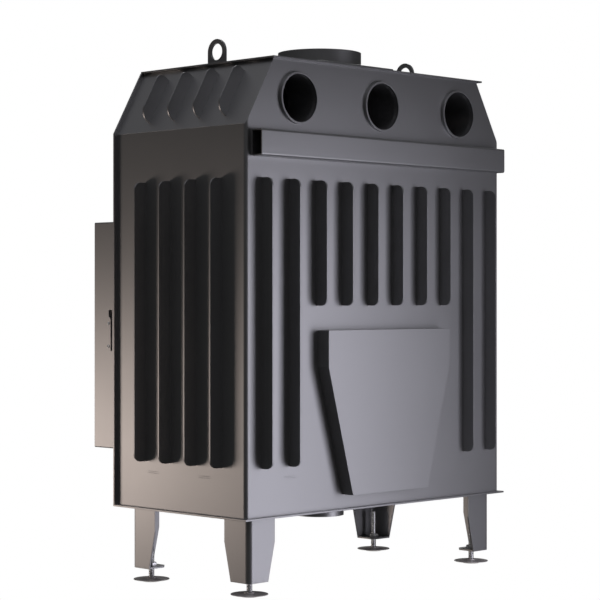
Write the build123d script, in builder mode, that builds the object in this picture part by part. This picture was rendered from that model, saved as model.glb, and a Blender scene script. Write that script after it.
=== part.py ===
from build123d import *
import os
from math import atan2, cos, sin

# Fireplace insert. Millimetres. +Z up, floor at z = 0, the door faces -Y, origin under the middle.

# Steel body
SHEET = 4.0
BODY_HALF = 450.0
BODY_DEPTH = 449.0
FIN_DEPTH = 35.0
OVERALL_DEPTH = 621.0
REAR_Y = OVERALL_DEPTH / 2 - FIN_DEPTH
FRONT_Y = REAR_Y - BODY_DEPTH
CORNER_BEND = 8.5
PLATE_CORNER = 5.0
BASE_Z = 180.0
BASE_TOP = BASE_Z + SHEET
OVERHANG = 10.0
FOLD_Z = 1075.5
HOOD_TOP_Z = 1230.5
HOOD_TOP_HALF = 362.0
INNER_HALF = BODY_HALF - SHEET
INNER_REAR_Y = REAR_Y - SHEET
SLOPE_TURN = atan2(HOOD_TOP_Z - FOLD_Z, BODY_HALF - HOOD_TOP_HALF)
ROOM_SLOTS = 7
ROOM_SLOT_Z = 1112.0
ROOM_SLOT_PITCH = 106.0
ROOM_SLOT_LENGTH = 84.0
ROOM_SLOT_HEIGHT = 14.0

# Chimney and air connections
FLUE_Y = 69.5
FLUE_OUTER_R = 103.5
FLUE_INNER_R = 100.0
FLUE_TOP_Z = 1290.5
SEAT_HALF = 130.0
SEAT_TOP_Z = 1253.0
DUCT_OUTER_R = 98.0
DUCT_INNER_R = 95.0
OUTLET_X = 284.5
OUTLET_Z = 1144.0
OUTLET_OUTER_R = 60.5
OUTLET_INNER_R = 56.0
OUTLET_STAND = 8.0
SPIGOT_Y = 66.5
SPIGOT_OUTER_R = 62.5
SPIGOT_INNER_R = 60.0
SPIGOT_LENGTH = 37.0
EYE_X = 335.0
EYE_Y = 56.5
EYE_Z = 1266.0
EYE_R = 30.5
EYE_HOLE_R = 19.5
EYE_SHEET = 5.0

# Tube across the back, and the air channel under it
BEAM_HALF = 433.0
BEAM_BOTTOM_Z = 1003.0
BEAM_TOP_Z = 1063.5
BEAM_DEPTH = 34.5
BEAM_SHEET = 3.0
COVER_HALF = 217.0
COVER_TOP_Z = 607.0
COVER_TURN_Z = 520.5
COVER_FOOT_HALF = 134.5
COVER_BOTTOM_Z = 217.5
COVER_SHEET = 3.0
CHANNEL_INLET_HALF = 90.0
CHANNEL_INLET_Z = (226.0, 260.0)

# Fins
FIN_SHEET = 4.0
FIN_CORNER = 20.0
FIN_TOP_Z = 956.0
FIN_LONG_Z = 294.5
FIN_SHORT_Z = 664.0
REAR_FIN_PITCH = 88.6
SIDE_FIN_Y = (-71.1, 16.7, 105.3, 193.2)
HOOD_FIN_START = 26.0
HOOD_FIN_END = 150.0
HOOD_FIN_LOW_CORNER = 30.0
HOOD_FIN_HIGH_CORNER = 20.0

# Legs and feet
LEG_X = 428.0
LEG_MIDDLE_Y = 59.5
LEG_HALF_Y = 203.0
LEG_BOTTOM_Z = 33.5
LEG_WIDTH = 82.0
LEG_FOOT_WIDTH = 61.0
LEG_TAPER_Z = 124.0
LEG_BEND = 12.5
FOOT_INSET = 32.5
FOOT_PLATE_TOP = LEG_BOTTOM_Z + SHEET
TAB_SLOTS = (23.0, 44.0)
TAB_SLOT_LENGTH = 7.0
PAD_R = 22.5
PAD_HEIGHT = 4.3
DISC_R = 43.5
DISC_EDGE_Z = 6.2
DISC_TOP_Z = 7.5
BOSS_R = 12.5
BOSS_TOP_Z = 10.5
ROD_BOTTOM_Z = 5.5
ROD_R = 7.0
THREAD_R = 7.08
ROD_LENGTH = 100.5
NUT_FLATS_R = 11.0
NUT_HEIGHT = 8.0

# Door surround, measured outside
SURROUND_HALF = 440.0
SURROUND_BOTTOM_Z = 316.5
SURROUND_TOP_Z = 867.0
SURROUND_Y = REAR_Y - 548.0
PLATE_Y = FRONT_Y - SHEET
THROAT_HALF = SURROUND_HALF - SHEET
THROAT_BOTTOM_Z = SURROUND_BOTTOM_Z + SHEET
THROAT_TOP_Z = SURROUND_TOP_Z - SHEET
SLOT_SCREW_Y = -219.5
SLOT_SCREW_Z = (564.5, 620.0)
SLOT_SCREW_R = 2.5
SLOT_SCREW_HEAD_R = 4.0
SLOT_SCREW_HEAD = 2.0
SLOT_SCREW_DEPTH = 8.0
SLOT_BLOCK_Y = (-228.0, -198.0)
SLOT_BLOCK_Z = (545.0, 662.0)
SLOT_BLOCK = 12.0
HOOK_SLOT_DEPTH = 9.0
HOOK_SLOT = (
    (-211.5, 553.7), (-205.5, 553.7), (-205.5, 653),
    (-218.5, 653), (-218.5, 638), (-211.5, 631),
)

# Door
DOOR_HALF = 432.0
DOOR_BOTTOM_Z = 372.0
DOOR_TOP_Z = 859.0
DOOR_Y = -270.5
DOOR_DEPTH = 30.0
DOOR_BACK_Y = DOOR_Y + DOOR_DEPTH
DOOR_RAIL = 62.0
GLASS_LAP = 9.0
DOOR_MID_Z = (DOOR_BOTTOM_Z + DOOR_TOP_Z) / 2
DOOR_HEIGHT = DOOR_TOP_Z - DOOR_BOTTOM_Z
LIP_BACK_Y = DOOR_Y + 10.0
GASKET_SHEET = 3.0
GLASS_SHEET = 5.0
CLIP_X = (-280.0, 0.0, 280.0)
CLIP_WIDTH = 30.0
CLIP_SHEET = 2.0
ROPE_WIDTH = 9.0
ROPE_EDGE = 6.0
ROPE_PROUD = 4.7
ROPE_GROOVE = 5.0
HINGE_X = -425.0
HINGE_Y = -263.5
PIN_R = 4.0
PIN_BORE_R = 4.08
PIN_BORE_DEPTH = 22.0
PIN_LENGTH = 28.0
PIN_COLLAR_R = 6.5
SEAT_Y = -235.5
SEAT_SHEET = 5.0
SEAT_WIDTH = 36.0
SHELF_TOP_Z = 368.0

# Handle and latch
HANDLE_X = 388.0
HANDLE_Z = 612.0
HUB_R = 12.0
HUB_LENGTH = 5.0
GRIP_Y = -305.0
GRIP_DEPTH = 11.0
GRIP_HEIGHT = 16.0
GRIP_CORNER = 4.5
GRIP_END_X = 248.0
GRIP_CRANK = 36.0
GRIP_RISE = 14.0
GRIP_BEND = 9.0
HUB_Y = DOOR_Y - 0.5
SHAFT_R = 5.0
SHAFT_BORE_R = 5.08
TONGUE_Y = -230.0
TONGUE_SHEET = 5.0
TONGUE_LENGTH = 32.0
TONGUE_WIDTH = 14.0
SHAFT_END_Y = TONGUE_Y + TONGUE_SHEET + 3

# Firebox
FLOOR_Z = 268.0
FLOOR_TOP = FLOOR_Z + SHEET
HEARTH_Z = 372.0
HEARTH_TOP = HEARTH_Z + SHEET
SLAB_TOP_Z = 401.0
LINING = 30.0
LINING_TOP_Z = 890.0
LINING_HALF = INNER_HALF - 3
LINING_FRONT_Y = FRONT_Y + 2
LINING_BACK_Y = 239.5
SLAB_HALF = 410.0
SLAB_BACK_Y = 237.0
BAFFLE_FRONT_Y = -60.0
CEILING_Z = 1066.0
GRATE_HALF = 150.0
GRATE_Y = (-60.0, 140.0)
GRATE_RIM = 14.0
GRATE_GAP = 1.5
GRATE_SLOTS = 9
GRATE_SLOT_PITCH = 29.0
GRATE_SLOT_LENGTH = 166.0
GRATE_SLOT_WIDTH = 12.0
NOZZLE_Z = 585.0
NOZZLE_R = 6.0
NOZZLE_PITCH = 56.0
NOZZLES = 7

# Ash pan and air control
PAN_HALF = 146.0
PAN_BOTTOM_Z = 322.1
PAN_BACK_Y = 150.0
PAN_FRONT_Y = -271.8
PAN_HEIGHT = 36.0
PAN_SHEET = 2.0
PAN_LIP_HALF = 60.0
PAN_LIP_Y = PAN_FRONT_Y - 22
PAN_LIP_Z = 352.0
APRON_Y = -271.5
PAN_GAP_TOP_Z = 362.0
WINDOW_X = (215.0, 275.0, 335.0)
WINDOW_Y = -85.0
WINDOW_WIDTH = 28.0
WINDOW_LENGTH = 50.0
LEVER_X = 265.0
LEVER_Z = 341.0
LEVER_TRAVEL = 30.0
LEVER_SHEET = 3.0
LEVER_GAP_HALF = 15.0
LEVER_FOOT_Y = -118.0
LEVER_RISE_Y = -150.0
LEVER_FRONT_Y = -290.0
SHUTTER_X = (190.0, 360.0)
SHUTTER_Y = (-148.0, -50.0)
SHUTTER_GAP = 0.3
SHUTTER_SHEET = 3.0

TAB = 36.0
SIDE_TAB_Y = (-41.5, 138.5)
REAR_TAB_X = 312.0

SIDES = (-1, 1)
ENDS = (-1, 1)


def rectangle(left, right, low, high, mode=Mode.ADD):
    """Rectangle between two values of each axis of the sketch in hand."""
    with Locations(((left + right) / 2, (low + high) / 2)):
        Rectangle(right - left, high - low, mode=mode)


def level(z):
    """Sketch plane that lies flat at a height."""
    return Plane.XY.offset(z)


def upright(y):
    """Sketch plane across the insert: x to the right, z up, extruded towards the door."""
    return Plane.XZ.offset(-y)


def sideways(x):
    """Sketch plane along the insert: y towards the back, z up, extruded to the right."""
    return Plane.YZ.offset(x)


def slope_point(along, out):
    """Point on the right hood slope, from the fold upwards and square out from the sheet."""
    x = BODY_HALF - along * cos(SLOPE_TURN) + out * sin(SLOPE_TURN)
    z = FOLD_Z + along * sin(SLOPE_TURN) + out * cos(SLOPE_TURN)
    return (x, z)


def leg_point(side, end, in_x, in_y):
    """Point of a leg, counted inwards from its outer corner."""
    return (side * (LEG_X - in_x), LEG_MIDDLE_Y + end * (LEG_HALF_Y - in_y))


# Base plate, with the hole for outside air
with BuildPart() as base_plate:
    with BuildSketch(level(BASE_Z)):
        rectangle(-BODY_HALF - OVERHANG, BODY_HALF + OVERHANG, PLATE_Y, REAR_Y + OVERHANG)
        with Locations((0, SPIGOT_Y)):
            Circle(SPIGOT_INNER_R, mode=Mode.SUBTRACT)
    extrude(amount=SHEET)

# Side walls and rear wall, one sheet bent round both back corners
with BuildPart() as body_shell:
    with BuildSketch(level(BASE_TOP)) as shell_plan:
        rectangle(-BODY_HALF, BODY_HALF, FRONT_Y, REAR_Y)
        fillet(shell_plan.vertices().group_by(Axis.Y)[-1], CORNER_BEND)
        with BuildSketch(mode=Mode.SUBTRACT) as shell_inside:
            rectangle(-INNER_HALF, INNER_HALF, FRONT_Y, INNER_REAR_Y)
            fillet(shell_inside.vertices().group_by(Axis.Y)[-1], CORNER_BEND - SHEET)
    extrude(amount=HOOD_TOP_Z - BASE_TOP)
    with BuildSketch(level(FOLD_Z)):
        rectangle(-BODY_HALF, BODY_HALF, FRONT_Y, INNER_REAR_Y)
    extrude(amount=HOOD_TOP_Z - FOLD_Z, mode=Mode.SUBTRACT)
    with BuildSketch(upright(REAR_Y)):
        for side in SIDES:
            with BuildLine():
                Polyline(
                    (side * BODY_HALF, FOLD_Z),
                    (side * (BODY_HALF + OVERHANG), FOLD_Z),
                    (side * (BODY_HALF + OVERHANG), HOOD_TOP_Z),
                    (side * HOOD_TOP_HALF, HOOD_TOP_Z),
                    close=True,
                )
            make_face()
    extrude(amount=BODY_DEPTH, mode=Mode.SUBTRACT)
    with BuildSketch(upright(REAR_Y)):
        with Locations((-OUTLET_X, OUTLET_Z), (0, OUTLET_Z), (OUTLET_X, OUTLET_Z)):
            Circle(OUTLET_INNER_R)
        for side in SIDES:
            rectangle(side * REAR_TAB_X - TAB / 2, side * REAR_TAB_X + TAB / 2, FLOOR_Z, FLOOR_TOP)
        rectangle(-CHANNEL_INLET_HALF, CHANNEL_INLET_HALF, *CHANNEL_INLET_Z)
        with Locations((0, NOZZLE_Z)):
            with GridLocations(NOZZLE_PITCH, 1, NOZZLES, 1):
                Circle(NOZZLE_R)
    extrude(amount=SHEET, mode=Mode.SUBTRACT)
    with BuildSketch(sideways(-BODY_HALF)):
        for tab_y in SIDE_TAB_Y:
            rectangle(tab_y - TAB / 2, tab_y + TAB / 2, FLOOR_Z, FLOOR_TOP)
    extrude(amount=2 * BODY_HALF, mode=Mode.SUBTRACT)


def hood_plate(side):
    """Sloped side of the hood, from the top of a side wall to the top plate."""
    sheet_width = SHEET / sin(SLOPE_TURN)
    with BuildPart() as plate:
        with BuildSketch(upright(INNER_REAR_Y)):
            with BuildLine():
                Polyline(
                    (side * BODY_HALF, FOLD_Z),
                    (side * HOOD_TOP_HALF, HOOD_TOP_Z),
                    (side * (HOOD_TOP_HALF - sheet_width), HOOD_TOP_Z),
                    (side * (BODY_HALF - sheet_width), FOLD_Z),
                    close=True,
                )
            make_face()
        extrude(amount=INNER_REAR_Y - FRONT_Y)
    return plate.part


hood_plate_left = hood_plate(-1)
hood_plate_right = hood_plate(1)

# Top plate, which overhangs the hood on three sides
with BuildPart() as top_plate:
    with BuildSketch(level(HOOD_TOP_Z)):
        rectangle(-HOOD_TOP_HALF - OVERHANG, HOOD_TOP_HALF + OVERHANG, PLATE_Y, REAR_Y + OVERHANG)
        with Locations((0, FLUE_Y)):
            Circle(DUCT_OUTER_R, mode=Mode.SUBTRACT)
    extrude(amount=SHEET)

# Front plate, the outline of the body with an overhang, the door opening and slots for room air
with BuildPart() as front_plate:
    with BuildSketch(upright(FRONT_Y)):
        with BuildLine():
            Polyline(
                (-BODY_HALF, BASE_TOP),
                (BODY_HALF, BASE_TOP),
                (BODY_HALF, FOLD_Z),
                (HOOD_TOP_HALF, HOOD_TOP_Z),
                (-HOOD_TOP_HALF, HOOD_TOP_Z),
                (-BODY_HALF, FOLD_Z),
                close=True,
            )
        make_face()
        offset(amount=OVERHANG, kind=Kind.INTERSECTION)
        rectangle(-BODY_HALF - OVERHANG, BODY_HALF + OVERHANG, BASE_TOP, HOOD_TOP_Z, mode=Mode.INTERSECT)
        rectangle(-THROAT_HALF, THROAT_HALF, THROAT_BOTTOM_Z, THROAT_TOP_Z, mode=Mode.SUBTRACT)
        with Locations((0, ROOM_SLOT_Z)):
            with GridLocations(ROOM_SLOT_PITCH, 1, ROOM_SLOTS, 1):
                SlotOverall(ROOM_SLOT_LENGTH, ROOM_SLOT_HEIGHT, mode=Mode.SUBTRACT)
    extrude(amount=SHEET)


def rear_fins(centres, low):
    """Fins that stand on the back, thin plates with rounded outer corners."""
    with BuildPart() as fins:
        for centre in centres:
            with BuildSketch(sideways(centre - FIN_SHEET / 2)) as fin:
                rectangle(REAR_Y, REAR_Y + FIN_DEPTH, low, FIN_TOP_Z)
                fillet(fin.vertices().group_by(Axis.X)[-1], FIN_CORNER)
            extrude(amount=FIN_SHEET)
    return fins.part


fin_centres = [REAR_FIN_PITCH * (step - 4.5) for step in range(10)]
rear_fins_long = rear_fins(fin_centres[:2] + fin_centres[8:], FIN_LONG_Z)
rear_fins_short = rear_fins(fin_centres[2:8], FIN_SHORT_Z)


def side_fins(side):
    """Four upright fins on one side wall."""
    with BuildPart() as fins:
        for fin_y in SIDE_FIN_Y:
            with BuildSketch(upright(fin_y + FIN_SHEET / 2)) as fin:
                low_x = min(side * BODY_HALF, side * (BODY_HALF + FIN_DEPTH))
                rectangle(low_x, low_x + FIN_DEPTH, FIN_LONG_Z, FIN_TOP_Z)
                by_x = fin.vertices().group_by(Axis.X)
                fillet(by_x[-1] if side > 0 else by_x[0], FIN_CORNER)
            extrude(amount=FIN_SHEET)
    return fins.part


def hood_fins(side):
    """Four short fins square to one hood slope."""
    low_in = slope_point(HOOD_FIN_START, 0)
    low_out = slope_point(HOOD_FIN_START, FIN_DEPTH)
    high_out = slope_point(HOOD_FIN_END, FIN_DEPTH)
    high_in = slope_point(HOOD_FIN_END, 0)
    corners = [(side * x, z) for x, z in (low_in, low_out, high_out, high_in)]
    with BuildPart() as fins:
        for fin_y in SIDE_FIN_Y:
            with BuildSketch(upright(fin_y + FIN_SHEET / 2)) as fin:
                with BuildLine():
                    Polyline(*corners, close=True)
                make_face()
                low_corner = fin.vertices().sort_by_distance((*corners[1], 0))[0]
                fillet(low_corner, HOOD_FIN_LOW_CORNER)
                high_corner = fin.vertices().sort_by_distance((*corners[2], 0))[0]
                fillet(high_corner, HOOD_FIN_HIGH_CORNER)
            extrude(amount=FIN_SHEET)
    return fins.part


side_fins_left = side_fins(-1)
side_fins_right = side_fins(1)
hood_fins_left = hood_fins(-1)
hood_fins_right = hood_fins(1)

# Rectangular tube across the back, open at both ends
with BuildPart() as rear_beam:
    with BuildSketch(sideways(-BEAM_HALF)) as beam_section:
        rectangle(REAR_Y, REAR_Y + BEAM_DEPTH, BEAM_BOTTOM_Z, BEAM_TOP_Z)
        fillet(beam_section.vertices(), BEAM_SHEET + 2)
        offset(amount=-BEAM_SHEET, mode=Mode.SUBTRACT)
    extrude(amount=2 * BEAM_HALF)

# Folded cover over the air channel on the back
with BuildPart() as air_channel_cover:
    with BuildSketch(upright(REAR_Y + FIN_DEPTH)) as channel_face:
        with BuildLine():
            Polyline(
                (-COVER_HALF, COVER_TOP_Z),
                (COVER_HALF, COVER_TOP_Z),
                (COVER_HALF, COVER_TURN_Z),
                (COVER_FOOT_HALF, COVER_BOTTOM_Z),
                (-COVER_FOOT_HALF, COVER_BOTTOM_Z),
                (-COVER_HALF, COVER_TURN_Z),
                close=True,
            )
        make_face()
    extrude(amount=FIN_DEPTH)
    with BuildSketch(upright(REAR_Y + FIN_DEPTH - COVER_SHEET)):
        add(channel_face.sketch_local)
        offset(amount=-COVER_SHEET, mode=Mode.REPLACE)
    extrude(amount=FIN_DEPTH - COVER_SHEET, mode=Mode.SUBTRACT)

# Three round collars for hot air, welded on the back of the hood
with BuildPart() as hot_air_collars:
    with BuildSketch(upright(REAR_Y + OUTLET_STAND)):
        with Locations((-OUTLET_X, OUTLET_Z), (0, OUTLET_Z), (OUTLET_X, OUTLET_Z)):
            Circle(OUTLET_OUTER_R)
            Circle(OUTLET_INNER_R, mode=Mode.SUBTRACT)
    extrude(amount=OUTLET_STAND)

# Folded square seat under the flue collar
with BuildPart() as flue_seat:
    with BuildSketch(level(HOOD_TOP_Z + SHEET)):
        rectangle(-SEAT_HALF, SEAT_HALF, FLUE_Y - SEAT_HALF, FLUE_Y + SEAT_HALF)
    extrude(amount=SEAT_TOP_Z - HOOD_TOP_Z - SHEET)
    fillet(flue_seat.edges().group_by(Axis.Z)[-1], 3)
    with BuildSketch(level(HOOD_TOP_Z + SHEET)):
        inner_half = SEAT_HALF - SHEET
        rectangle(-inner_half, inner_half, FLUE_Y - inner_half, FLUE_Y + inner_half)
    extrude(amount=SEAT_TOP_Z - HOOD_TOP_Z - 2 * SHEET, mode=Mode.SUBTRACT)
    with BuildSketch(level(SEAT_TOP_Z - SHEET)):
        with Locations((0, FLUE_Y)):
            Circle(DUCT_INNER_R)
    extrude(amount=SHEET, mode=Mode.SUBTRACT)

# Collar that the flue pipe is put into
with BuildPart() as flue_collar:
    with BuildSketch(level(SEAT_TOP_Z)):
        with Locations((0, FLUE_Y)):
            Circle(FLUE_OUTER_R)
            Circle(FLUE_INNER_R, mode=Mode.SUBTRACT)
    extrude(amount=FLUE_TOP_Z - SEAT_TOP_Z)

# Smoke duct from the firebox ceiling through the hot-air chamber
with BuildPart() as smoke_duct:
    with BuildSketch(level(CEILING_Z + SHEET)):
        with Locations((0, FLUE_Y)):
            Circle(DUCT_OUTER_R)
            Circle(DUCT_INNER_R, mode=Mode.SUBTRACT)
    extrude(amount=SEAT_TOP_Z - SHEET - CEILING_Z - SHEET)

# Two lifting eyes
with BuildPart() as lifting_eyes:
    for side in SIDES:
        with BuildSketch(sideways(side * EYE_X - EYE_SHEET / 2)):
            rectangle(EYE_Y - EYE_R, EYE_Y + EYE_R, HOOD_TOP_Z + SHEET, EYE_Z)
            with Locations((EYE_Y, EYE_Z)):
                Circle(EYE_R)
                Circle(EYE_HOLE_R, mode=Mode.SUBTRACT)
        extrude(amount=EYE_SHEET)

# Spigot for outside air, under the base
with BuildPart() as outside_air_spigot:
    with BuildSketch(level(BASE_Z - SPIGOT_LENGTH)):
        with Locations((0, SPIGOT_Y)):
            Circle(SPIGOT_OUTER_R)
            Circle(SPIGOT_INNER_R, mode=Mode.SUBTRACT)
    extrude(amount=SPIGOT_LENGTH)


def corner_leg(side, end):
    """Angle leg whose two flanges taper towards the foot, slotted for its foot plate."""
    with BuildPart() as leg:
        with BuildSketch(level(LEG_BOTTOM_Z)) as section:
            corners = (
                (0, 0), (LEG_WIDTH, 0), (LEG_WIDTH, SHEET),
                (SHEET, SHEET), (SHEET, LEG_WIDTH), (0, LEG_WIDTH),
            )
            with BuildLine():
                Polyline(*[leg_point(side, end, *corner) for corner in corners], close=True)
            make_face()
            fillet(section.vertices().sort_by_distance((*leg_point(side, end, 0, 0), 0))[0], LEG_BEND)
            fillet(section.vertices().sort_by_distance((*leg_point(side, end, SHEET, SHEET), 0))[0], LEG_BEND - SHEET)
        extrude(amount=BASE_Z - LEG_BOTTOM_Z)
        for plane, wide, narrow in (
            (upright(LEG_MIDDLE_Y + LEG_HALF_Y), leg_point(side, end, LEG_WIDTH, 0)[0],
             leg_point(side, end, LEG_FOOT_WIDTH, 0)[0]),
            (sideways(-LEG_X), leg_point(side, end, 0, LEG_WIDTH)[1],
             leg_point(side, end, 0, LEG_FOOT_WIDTH)[1]),
        ):
            with BuildSketch(plane):
                with BuildLine():
                    Polyline((wide, LEG_BOTTOM_Z), (narrow, LEG_BOTTOM_Z), (wide, LEG_TAPER_Z), close=True)
                make_face()
            extrude(amount=2 * LEG_X, mode=Mode.SUBTRACT)
        with BuildSketch(level(LEG_BOTTOM_Z)):
            for along in TAB_SLOTS:
                with Locations(leg_point(side, end, along, SHEET / 2)):
                    Rectangle(TAB_SLOT_LENGTH, SHEET)
                with Locations(leg_point(side, end, SHEET / 2, along)):
                    Rectangle(SHEET, TAB_SLOT_LENGTH)
        extrude(amount=SHEET, mode=Mode.SUBTRACT)
    return leg.part


leg_front_left = corner_leg(-1, -1)
leg_front_right = corner_leg(1, -1)
leg_rear_left = corner_leg(-1, 1)
leg_rear_right = corner_leg(1, 1)

# Foot plates inside the legs, with small tabs through the leg sheet
with BuildPart() as leg_foot_plates:
    with BuildSketch(level(LEG_BOTTOM_Z)):
        for side in SIDES:
            for end in ENDS:
                outline = (
                    (SHEET, LEG_BEND + 1), (LEG_BEND + 1, SHEET), (LEG_FOOT_WIDTH, SHEET),
                    (LEG_FOOT_WIDTH, 47), (47, LEG_FOOT_WIDTH), (SHEET, LEG_FOOT_WIDTH),
                )
                with BuildLine():
                    Polyline(*[leg_point(side, end, *point) for point in outline], close=True)
                make_face()
                for along in TAB_SLOTS:
                    with Locations(leg_point(side, end, along, SHEET / 2)):
                        Rectangle(TAB_SLOT_LENGTH, SHEET)
                    with Locations(leg_point(side, end, SHEET / 2, along)):
                        Rectangle(SHEET, TAB_SLOT_LENGTH)
                with Locations(leg_point(side, end, FOOT_INSET, FOOT_INSET)):
                    Circle(ROD_R + 0.5, mode=Mode.SUBTRACT)
    extrude(amount=SHEET)

# Nuts welded on the foot plates
with BuildPart() as leg_nuts:
    for side in SIDES:
        for end in ENDS:
            with BuildSketch(level(FOOT_PLATE_TOP)):
                with Locations(leg_point(side, end, FOOT_INSET, FOOT_INSET)):
                    RegularPolygon(NUT_FLATS_R, 6, major_radius=False)
                    Circle(THREAD_R, mode=Mode.SUBTRACT)
            extrude(amount=NUT_HEIGHT)


def foot_disc(side, end):
    """Round foot on its pad, with a top that falls away from the boss for the rod."""
    x, y = leg_point(side, end, FOOT_INSET, FOOT_INSET)
    with BuildPart() as foot:
        with BuildSketch(Plane(origin=(x, y, 0), x_dir=(1, 0, 0), z_dir=(0, -1, 0))):
            with BuildLine():
                Polyline(
                    (0, 0), (PAD_R, 0), (PAD_R, PAD_HEIGHT), (DISC_R, PAD_HEIGHT), (DISC_R, DISC_EDGE_Z),
                    (BOSS_R, DISC_TOP_Z), (BOSS_R, BOSS_TOP_Z), (0, BOSS_TOP_Z), close=True,
                )
            make_face()
        revolve(axis=Axis((x, y, 0), (0, 0, 1)))
        with BuildSketch(level(ROD_BOTTOM_Z)):
            with Locations((x, y)):
                Circle(ROD_R)
        extrude(amount=BOSS_TOP_Z - ROD_BOTTOM_Z, mode=Mode.SUBTRACT)
    return foot.part


def foot_rod(side, end):
    """Threaded rod that screws through the nut of its leg."""
    with BuildPart() as rod:
        with BuildSketch(level(ROD_BOTTOM_Z)):
            with Locations(leg_point(side, end, FOOT_INSET, FOOT_INSET)):
                Circle(ROD_R)
        extrude(amount=ROD_LENGTH)
        chamfer(rod.edges().group_by(Axis.Z)[-1], length=1.5)
    return rod.part


# Box round the door, with the hole for the upper hinge pin, the hook slot and its two screw holes
with BuildPart() as door_surround:
    with BuildSketch(upright(PLATE_Y)) as surround_outline:
        rectangle(-SURROUND_HALF, SURROUND_HALF, SURROUND_BOTTOM_Z, SURROUND_TOP_Z)
        fillet(surround_outline.vertices(), 3)
        rectangle(-THROAT_HALF, THROAT_HALF, THROAT_BOTTOM_Z, THROAT_TOP_Z, mode=Mode.SUBTRACT)
    extrude(amount=PLATE_Y - SURROUND_Y)
    with BuildSketch(level(THROAT_TOP_Z)):
        with Locations((HINGE_X, HINGE_Y)):
            Circle(PIN_R)
    extrude(amount=SHEET, mode=Mode.SUBTRACT)
    with BuildSketch(sideways(THROAT_HALF)):
        with BuildLine():
            Polyline(*HOOK_SLOT, close=True)
        make_face()
        with Locations((SLOT_SCREW_Y, SLOT_SCREW_Z[0]), (SLOT_SCREW_Y, SLOT_SCREW_Z[1])):
            Circle(SLOT_SCREW_R)
    extrude(amount=SHEET, mode=Mode.SUBTRACT)

# Block behind the hook slot, with the slot milled on into it
with BuildPart() as hook_slot_block:
    with BuildSketch(sideways(THROAT_HALF - SLOT_BLOCK)):
        rectangle(*SLOT_BLOCK_Y, *SLOT_BLOCK_Z)
    extrude(amount=SLOT_BLOCK)
    chamfer(hook_slot_block.edges().group_by(Axis.X)[0], length=1.5)
    with BuildSketch(sideways(THROAT_HALF - HOOK_SLOT_DEPTH)):
        with BuildLine():
            Polyline(*HOOK_SLOT, close=True)
        make_face()
    extrude(amount=HOOK_SLOT_DEPTH, mode=Mode.SUBTRACT)
    with BuildSketch(sideways(THROAT_HALF - SLOT_SCREW_DEPTH)):
        with Locations((SLOT_SCREW_Y, SLOT_SCREW_Z[0]), (SLOT_SCREW_Y, SLOT_SCREW_Z[1])):
            Circle(SLOT_SCREW_R)
    extrude(amount=SLOT_SCREW_DEPTH, mode=Mode.SUBTRACT)

# Screws of the slot block
with BuildPart() as slot_screws:
    for screw_z in SLOT_SCREW_Z:
        with BuildSketch(sideways(THROAT_HALF - SLOT_SCREW_DEPTH)):
            with Locations((SLOT_SCREW_Y, screw_z)):
                Circle(SLOT_SCREW_R)
        extrude(amount=SLOT_SCREW_DEPTH + SHEET)
        with BuildSketch(sideways(SURROUND_HALF)):
            with Locations((SLOT_SCREW_Y, screw_z)):
                Circle(SLOT_SCREW_HEAD_R)
        extrude(amount=SLOT_SCREW_HEAD)

# Door seat, the ring that the rope gasket closes on and the latch tongue hooks behind
with BuildPart() as door_seat:
    with BuildSketch(upright(SEAT_Y + SEAT_SHEET)):
        rectangle(-THROAT_HALF, THROAT_HALF, SHELF_TOP_Z, THROAT_TOP_Z)
        rectangle(
            -THROAT_HALF + SEAT_WIDTH, THROAT_HALF - SEAT_WIDTH,
            SHELF_TOP_Z + SEAT_WIDTH, THROAT_TOP_Z - SEAT_WIDTH, mode=Mode.SUBTRACT,
        )
    extrude(amount=SEAT_SHEET)

# Apron under the door, folded back into a shelf; openings for the ash pan and the air lever
with BuildPart() as front_apron:
    with BuildSketch(sideways(-THROAT_HALF)):
        with BuildLine():
            Polyline(
                (APRON_Y, THROAT_BOTTOM_Z), (APRON_Y, SHELF_TOP_Z), (-226.5, SHELF_TOP_Z),
                (-226.5, SHELF_TOP_Z - SHEET), (APRON_Y + SHEET, SHELF_TOP_Z - SHEET),
                (APRON_Y + SHEET, THROAT_BOTTOM_Z), close=True,
            )
        make_face()
    extrude(amount=2 * THROAT_HALF)
    with BuildSketch(upright(APRON_Y + SHEET)):
        rectangle(-PAN_HALF - 4, PAN_HALF + 4, THROAT_BOTTOM_Z, PAN_GAP_TOP_Z)
        rectangle(
            LEVER_X - LEVER_GAP_HALF, LEVER_X + LEVER_TRAVEL + LEVER_GAP_HALF,
            LEVER_Z - 2, LEVER_Z + LEVER_SHEET + 2,
        )
    extrude(amount=SHEET, mode=Mode.SUBTRACT)
    with BuildSketch(level(SHELF_TOP_Z - SHEET)):
        with Locations((HINGE_X, HINGE_Y)):
            Circle(PIN_R)
    extrude(amount=SHEET, mode=Mode.SUBTRACT)

# Hinge pins, the lower one with a collar that carries the door
with BuildPart() as hinge_pins:
    for bottom in (DOOR_TOP_Z - PIN_BORE_DEPTH + 2, SHELF_TOP_Z - SHEET):
        with BuildSketch(level(bottom)):
            with Locations((HINGE_X, HINGE_Y)):
                Circle(PIN_R)
        extrude(amount=PIN_LENGTH)
    with BuildSketch(level(SHELF_TOP_Z)):
        with Locations((HINGE_X, HINGE_Y)):
            Circle(PIN_COLLAR_R)
    extrude(amount=DOOR_BOTTOM_Z - SHELF_TOP_Z - 0.1)

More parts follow.
